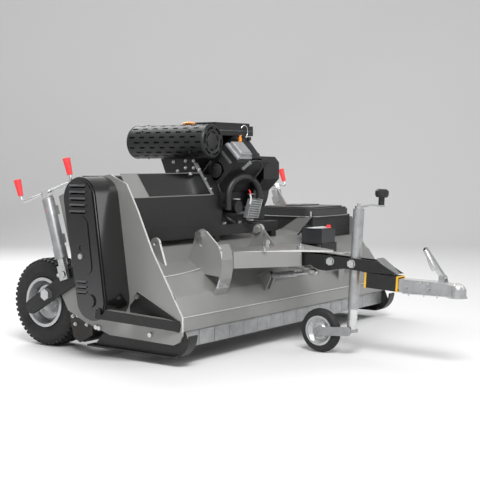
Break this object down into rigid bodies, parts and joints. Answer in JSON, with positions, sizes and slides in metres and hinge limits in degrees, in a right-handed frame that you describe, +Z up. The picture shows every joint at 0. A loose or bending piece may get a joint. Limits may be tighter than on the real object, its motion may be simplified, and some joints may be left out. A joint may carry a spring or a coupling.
{
  "type": "flail mower",
  "caption": "Towed flail mower with its own engine, belt-driven rotor under a folded deck, screw-adjusted rear wheels, drawbar with ball coupling and jockey wheel.",
  "frame": {"origin": "on the ground, at the middle of the whole machine seen from above", "axes": "+X to the right seen from the front, +Y to the rear so that the drawbar points along -Y, +Z up"},
  "size_m": [2.1248, 1.9979, 1.034],
  "materials": {
    "silver_paint": "satin",
    "black_paint": "satin",
    "cover_plastic": "gloss",
    "engine_plastic": "satin",
    "zinc": "bright zinc",
    "galvanised": "dull",
    "cast_aluminium": "cast",
    "engine_metal": "cast",
    "shield_steel": "heat paint",
    "rotor_steel": "bare",
    "rim_paint": "satin",
    "tyre_rubber": "matte",
    "belt_rubber": "matte",
    "battery_case": "satin"
  },
  "bodies": {
    "machine": {"deck_shell": "silver_paint", "left_side_plate": "silver_paint", "right_side_plate": "silver_paint", "left_skid": "black_paint", "right_skid": "black_paint", "roller_brackets": "black_paint", "deck_brackets": "silver_paint", "rotor_bearings": "engine_metal", "belt_cover": "cover_plastic", "belt_guard": "black_paint", "drive_belts": "belt_rubber", "engine_rails": "black_paint", "shaft_housing": "black_paint", "sign_plate": "silver_paint", "tank_hood": "black_paint", "battery": "battery_case", "frame_bolts": "zinc", "engine_block": "engine_metal", "engine_cylinders": "engine_metal", "blower_shroud": "engine_plastic", "valve_covers": "cast_aluminium", "air_cleaner": "engine_plastic", "muffler": "shield_steel", "heat_shield": "shield_steel", "intake_hose": "belt_rubber", "oil_filter": "black_paint", "oil_cooler": "cast_aluminium", "left_jack_tube": "silver_paint", "right_jack_tube": "silver_paint"},
    "hitch": {"hitch_frame": "silver_paint"},
    "link_sleeve": {"turnbuckle_sleeve": "zinc"},
    "link_rod": {"turnbuckle_rod": "zinc"},
    "drawbar": {"drawbar_plates": "black_paint", "drawbar_tube": "black_paint", "coupling_head": "zinc", "jockey_tube": "galvanised"},
    "handle": {"coupling_handle": "zinc"},
    "leg": {"jockey_leg": "zinc"},
    "leg_crank": {"jockey_crank": "zinc"},
    "fork": {"jockey_fork": "galvanised"},
    "jockey_wheel": {"jockey_tyre": "tyre_rubber", "jockey_rim": "galvanised"},
    "rotor_body": {"rotor": "rotor_steel", "rotor_pulley": "engine_metal"},
    "flails_a": {"flail_row_a": "rotor_steel"},
    "flails_b": {"flail_row_b": "rotor_steel"},
    "flails_c": {"flail_row_c": "rotor_steel"},
    "input_shaft": {"drive_shaft": "engine_metal"},
    "roller": {"rear_roller": "black_paint"},
    "flaps": {"front_flaps": "galvanised"},
    "left_arm": {"left_wheel_arm": "black_paint"},
    "right_arm": {"right_wheel_arm": "black_paint"},
    "left_wheel": {"left_tyre": "tyre_rubber", "left_rim": "rim_paint"},
    "right_wheel": {"right_tyre": "tyre_rubber", "right_rim": "rim_paint"},
    "left_screw": {"left_jack_screw": "zinc"},
    "right_screw": {"right_jack_screw": "zinc"},
    "left_winder": {"left_crank": "zinc"},
    "right_winder": {"right_crank": "zinc"}
  },
  "joints": [
    {"name": "hitch_pitch", "type": "hinge", "parent": "machine", "child": "hitch", "pos_m": [-0.243, 0.068, 0.53], "axis": [1, 0, 0], "range_deg": [-2.5, 2.5]},
    {"name": "link_turn", "type": "hinge", "parent": "machine", "child": "link_sleeve", "pos_m": [-0.243, -0.026, 0.322], "axis": [1, 0, 0], "range_deg": [-3.3, 3.3]},
    {"name": "link_extend", "type": "slide", "parent": "link_sleeve", "child": "link_rod", "axis": [0, -0.9907, 0.1358], "range_m": [-0.0098, 0.0098]},
    {"name": "drawbar_swing", "type": "hinge", "parent": "hitch", "child": "drawbar", "pos_m": [-0.243, -0.199, 0.415], "axis": [0, 0, 1], "range_deg": [-12, 12]},
    {"name": "handle_lift", "type": "hinge", "parent": "drawbar", "child": "handle", "pos_m": [-0.243, -0.893, 0.372], "axis": [1, 0, 0], "range_deg": [-38, 40]},
    {"name": "leg_slide", "type": "slide", "parent": "drawbar", "child": "leg", "axis": [0, -0.0576, 0.9983], "range_m": [-0.041, 0.081]},
    {"name": "leg_crank_turn", "type": "hinge", "parent": "drawbar", "child": "leg_crank", "pos_m": [-0.243, -0.483, 0.407], "axis": [0, -0.0576, 0.9983], "range_deg": [-1800, 3600]},
    {"name": "fork_swivel", "type": "hinge", "parent": "leg", "child": "fork", "pos_m": [-0.243, -0.483, 0.407], "axis": [0, -0.0576, 0.9983], "continuous": true},
    {"name": "jockey_wheel_spin", "type": "hinge", "parent": "fork", "child": "jockey_wheel", "pos_m": [-0.243, -0.31, 0.0986], "axis": [1, 0, 0], "continuous": true},
    {"name": "rotor_spin", "type": "hinge", "parent": "machine", "child": "rotor_body", "pos_m": [-0.021, 0.326, 0.265], "axis": [1, 0, 0], "continuous": true},
    {"name": "shaft_spin", "type": "hinge", "parent": "machine", "child": "input_shaft", "pos_m": [-0.521, 0.391, 0.69], "axis": [1, 0, 0], "continuous": true},
    {"name": "flails_a_swing", "type": "hinge", "parent": "rotor_body", "child": "flails_a", "pos_m": [-0.021, 0.326, 0.167], "axis": [1, 0, 0], "range_deg": [-60, 60]},
    {"name": "flails_b_swing", "type": "hinge", "parent": "rotor_body", "child": "flails_b", "pos_m": [-0.021, 0.41087, 0.314], "axis": [1, 0, 0], "range_deg": [0, 110]},
    {"name": "flails_c_swing", "type": "hinge", "parent": "rotor_body", "child": "flails_c", "pos_m": [-0.021, 0.24113, 0.314], "axis": [1, 0, 0], "range_deg": [-110, 0]},
    {"name": "roller_spin", "type": "hinge", "parent": "machine", "child": "roller", "pos_m": [-0.021, 0.536, 0.092], "axis": [1, 0, 0], "continuous": true},
    {"name": "flaps_swing", "type": "hinge", "parent": "machine", "child": "flaps", "pos_m": [-0.021, -0.03, 0.141], "axis": [1, 0, 0], "range_deg": [-5, 55]},
    {"name": "left_arm_pivot", "type": "hinge", "parent": "machine", "child": "left_arm", "pos_m": [-0.907, 0.48699, 0.38274], "axis": [1, 0, 0], "range_deg": [-6.3, 10.3]},
    {"name": "right_arm_pivot", "type": "hinge", "parent": "machine", "child": "right_arm", "pos_m": [0.865, 0.48699, 0.38274], "axis": [1, 0, 0], "range_deg": [-6.3, 10.3]},
    {"name": "left_wheel_spin", "type": "hinge", "parent": "left_arm", "child": "left_wheel", "pos_m": [-0.791, 0.796, 0.203], "axis": [1, 0, 0], "continuous": true},
    {"name": "right_wheel_spin", "type": "hinge", "parent": "right_arm", "child": "right_wheel", "pos_m": [0.749, 0.796, 0.203], "axis": [1, 0, 0], "continuous": true},
    {"name": "left_crank_turn", "type": "hinge", "parent": "machine", "child": "left_winder", "pos_m": [-0.926, 0.698, 0.69], "axis": [0, 0.2976, 0.9547], "range_deg": [-345, 575]},
    {"name": "right_crank_turn", "type": "hinge", "parent": "machine", "child": "right_winder", "pos_m": [0.884, 0.698, 0.69], "axis": [0, 0.2976, 0.9547], "range_deg": [-345, 575]},
    {"name": "left_jack_slide", "type": "slide", "parent": "machine", "child": "left_screw", "axis": [0, 0.2976, 0.9547], "range_m": [-0.0118, 0.0195]},
    {"name": "right_jack_slide", "type": "slide", "parent": "machine", "child": "right_screw", "axis": [0, 0.2976, 0.9547], "range_m": [-0.0118, 0.0195]}
  ],
  "couplings": [
    {"joint": "link_turn", "follows": "hitch_pitch", "ratio": 1.26},
    {"joint": "link_extend", "follows": "hitch_pitch", "m_per_rad": -0.21874},
    {"joint": "leg_slide", "follows": "leg_crank_turn", "m_per_rad": 0.0012732},
    {"joint": "shaft_spin", "follows": "rotor_spin", "ratio": 1.1},
    {"joint": "left_arm_pivot", "follows": "left_crank_turn", "ratio": 0.017362},
    {"joint": "right_arm_pivot", "follows": "right_crank_turn", "ratio": 0.017362},
    {"joint": "left_jack_slide", "follows": "left_crank_turn", "m_per_rad": 0.0019099},
    {"joint": "right_jack_slide", "follows": "right_crank_turn", "m_per_rad": 0.0019099}
  ]
}
